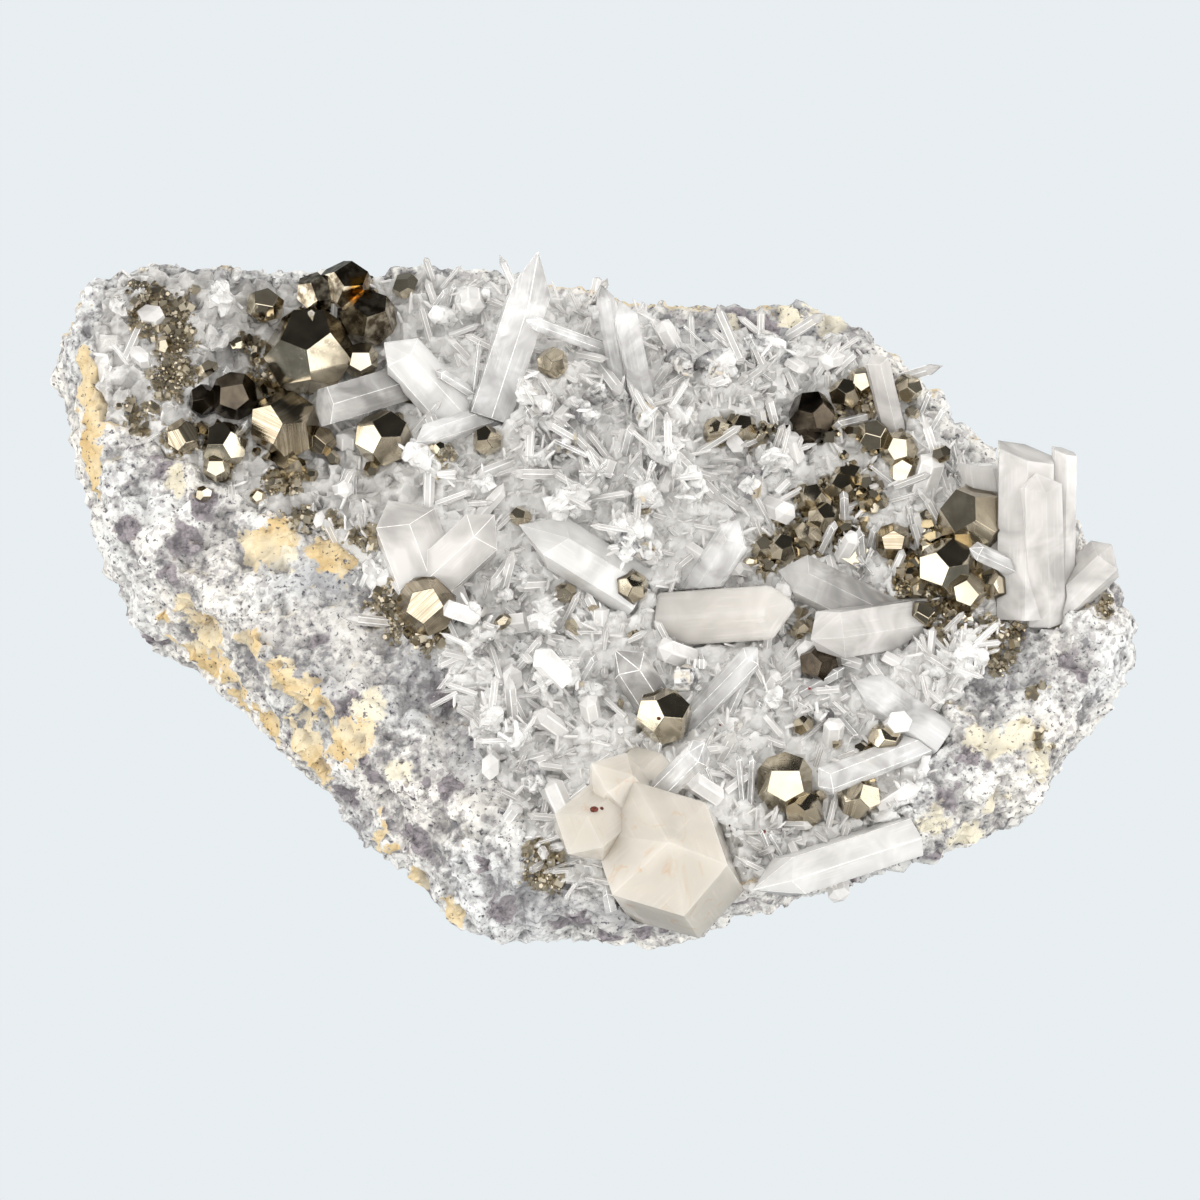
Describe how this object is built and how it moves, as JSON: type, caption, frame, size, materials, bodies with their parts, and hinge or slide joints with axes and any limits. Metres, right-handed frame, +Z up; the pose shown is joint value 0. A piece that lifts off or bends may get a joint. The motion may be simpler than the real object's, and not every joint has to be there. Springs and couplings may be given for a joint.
{
  "type": "pyrite with quartz mineral specimen",
  "caption": "Cabinet mineral specimen: pyrite pyritohedra and clear to milky quartz crystals on a slab of pale altered rock, resting on its flat underside.",
  "frame": {"origin": "middle of the flat resting face on the underside of the rock", "axes": "+Z up out of the crystal-bearing face, +X along the slab's length to the side with the upright quartz column, +Y to the back edge"},
  "size_m": [0.1843, 0.1242, 0.0486],
  "materials": {
    "altered_rock": "matte",
    "quartz": "gloss",
    "cream_quartz": "gloss",
    "pyrite": "polished"
  },
  "bodies": {
    "root": {"pyrite_back_right": "pyrite", "pyrite_back_single": "pyrite", "pyrite_front_bright": "pyrite", "pyrite_front_edge": "pyrite", "pyrite_front_large": "pyrite", "pyrite_front_right": "pyrite", "pyrite_front_striated": "pyrite", "pyrite_grey_right": "pyrite", "pyrite_hollow_dark": "pyrite", "pyrite_left_black": "pyrite", "pyrite_left_block": "pyrite", "pyrite_left_grey": "pyrite", "pyrite_left_large": "pyrite", "pyrite_left_middle": "pyrite", "pyrite_left_rim": "pyrite", "pyrite_left_striated": "pyrite", "pyrite_left_third": "pyrite", "pyrite_middle_dark": "pyrite", "pyrite_middle_single": "pyrite", "pyrite_right_bright": "pyrite", "pyrite_right_front": "pyrite", "pyrite_right_group": "pyrite", "pyrite_right_large": "pyrite", "pyrite_rim_right": "pyrite", "pyrite_tan_right": "pyrite", "pyrite_under_plate": "pyrite", "pyrite_upper_middle": "pyrite", "quartz_back_needle": "quartz", "quartz_back_pair": "quartz", "quartz_clear_blade": "quartz", "quartz_clear_middle": "quartz", "quartz_cloudy_block": "quartz", "quartz_cream_block": "cream_quartz", "quartz_cream_point": "cream_quartz", "quartz_druse": "quartz", "quartz_front_shard": "quartz", "quartz_grey_block": "quartz", "quartz_leaning_right": "quartz", "quartz_left_block": "quartz", "quartz_left_needle": "quartz", "quartz_long_front": "quartz", "quartz_middle_cigar": "quartz", "quartz_milky_left": "quartz", "quartz_right_blade": "quartz", "quartz_right_column": "quartz", "quartz_right_needle": "quartz", "quartz_right_stub": "quartz", "quartz_striated_plate": "quartz", "quartz_tall_back": "quartz", "quartz_top_right": "quartz", "quartz_window_tip": "quartz", "rock_matrix": "altered_rock"}
  },
  "joints": []
}
